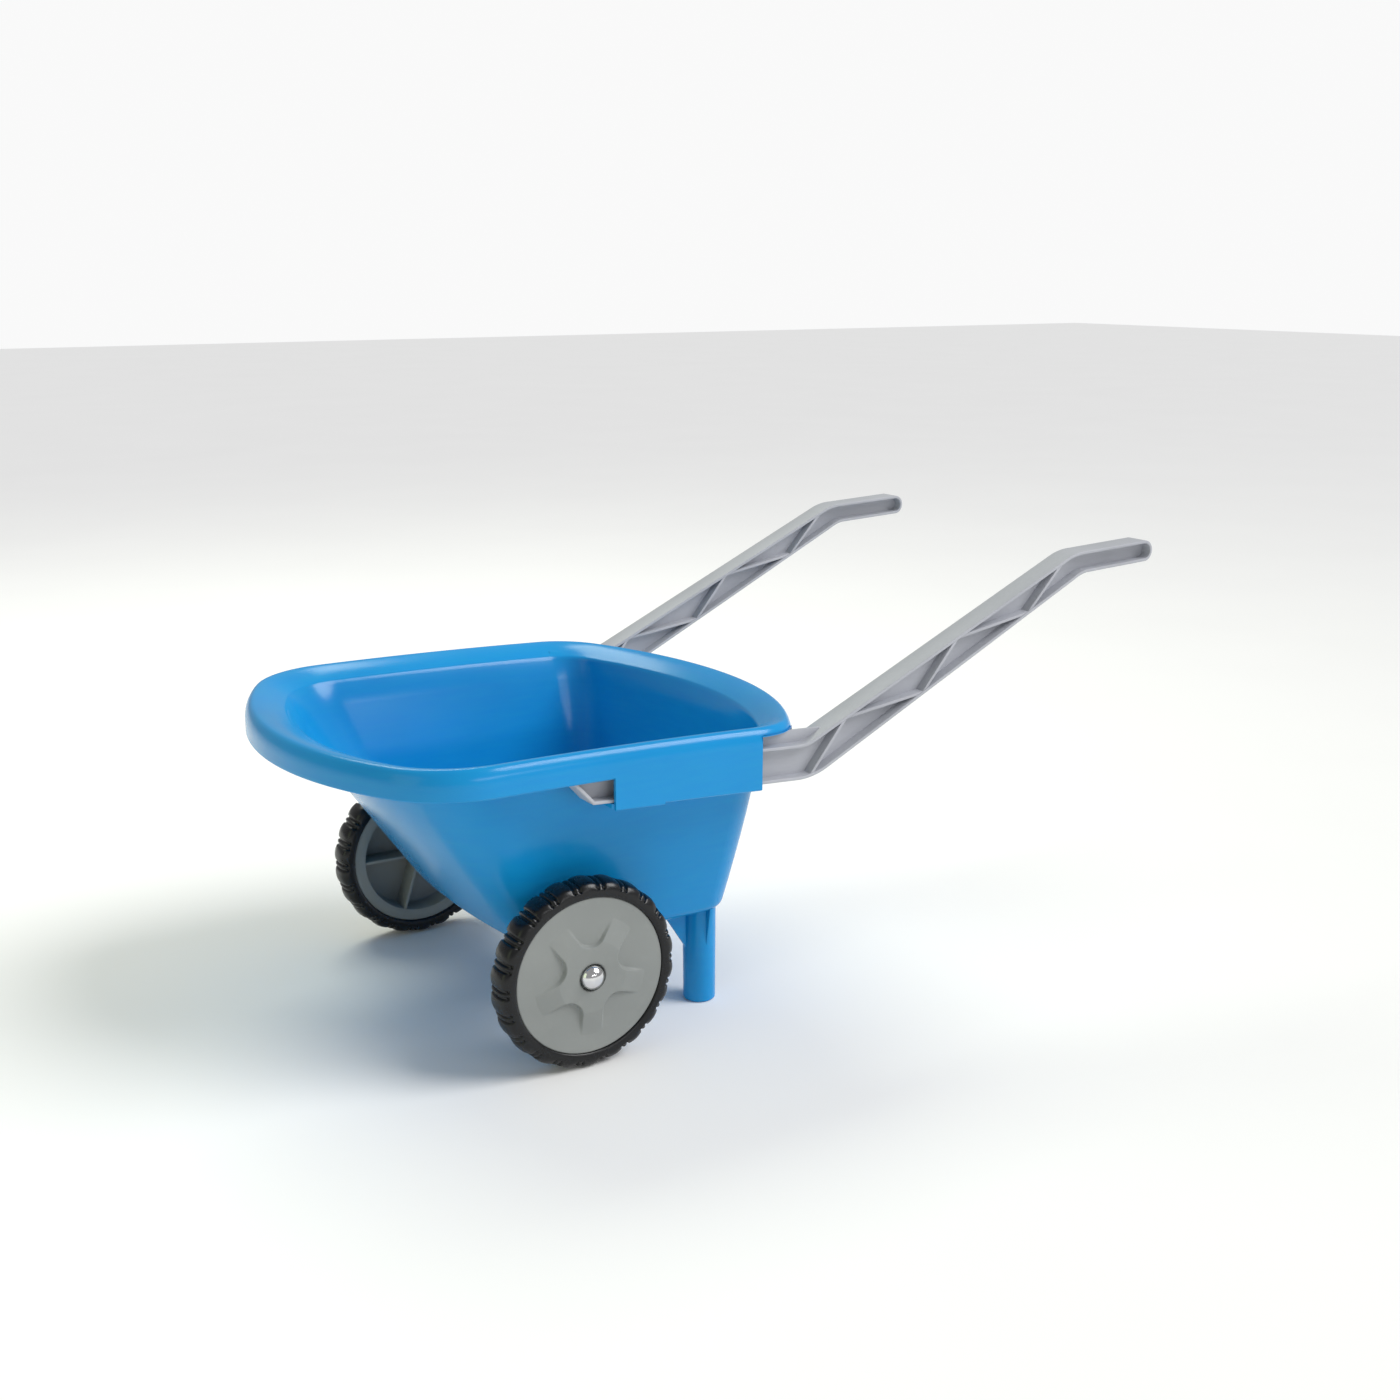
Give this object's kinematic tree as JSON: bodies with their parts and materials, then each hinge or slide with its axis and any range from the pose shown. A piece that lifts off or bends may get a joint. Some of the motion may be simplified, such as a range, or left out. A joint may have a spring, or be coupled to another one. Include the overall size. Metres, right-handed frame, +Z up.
{
  "type": "toy wheelbarrow",
  "caption": "Child's toy wheelbarrow with a moulded blue tub on two black-tyred wheels and two short legs, pushed by two ribbed grey handles.",
  "frame": {"origin": "on the ground, at the middle of the overall length and width", "axes": "+X back towards the grips, +Y across along the axle, +Z up"},
  "size_m": [0.7382, 0.3784, 0.3615],
  "materials": {
    "tub_plastic": "gloss",
    "handle_plastic": "satin",
    "hub_plastic": "satin",
    "tyre_plastic": "satin",
    "spacer_plastic": "satin",
    "axle_steel": "brushed",
    "nut_steel": "satin",
    "cap_chrome": "polished"
  },
  "bodies": {
    "barrow": {"tub": "tub_plastic", "handle_left": "handle_plastic", "handle_right": "handle_plastic", "axle": "axle_steel", "spacer_left": "spacer_plastic", "spacer_right": "spacer_plastic", "push_nut_left": "nut_steel", "push_nut_right": "nut_steel", "axle_cap_left": "cap_chrome", "axle_cap_right": "cap_chrome"},
    "wheel_left": {"hub_left": "hub_plastic", "tyre_left": "tyre_plastic"},
    "wheel_right": {"hub_right": "hub_plastic", "tyre_right": "tyre_plastic"}
  },
  "joints": [
    {"name": "wheel_left_spin", "type": "hinge", "parent": "barrow", "child": "wheel_left", "pos_m": [-0.1851, -0.16215, 0.075], "axis": [0, 1, 0], "continuous": true},
    {"name": "wheel_right_spin", "type": "hinge", "parent": "barrow", "child": "wheel_right", "pos_m": [-0.1851, 0.16215, 0.075], "axis": [0, 1, 0], "continuous": true}
  ]
}
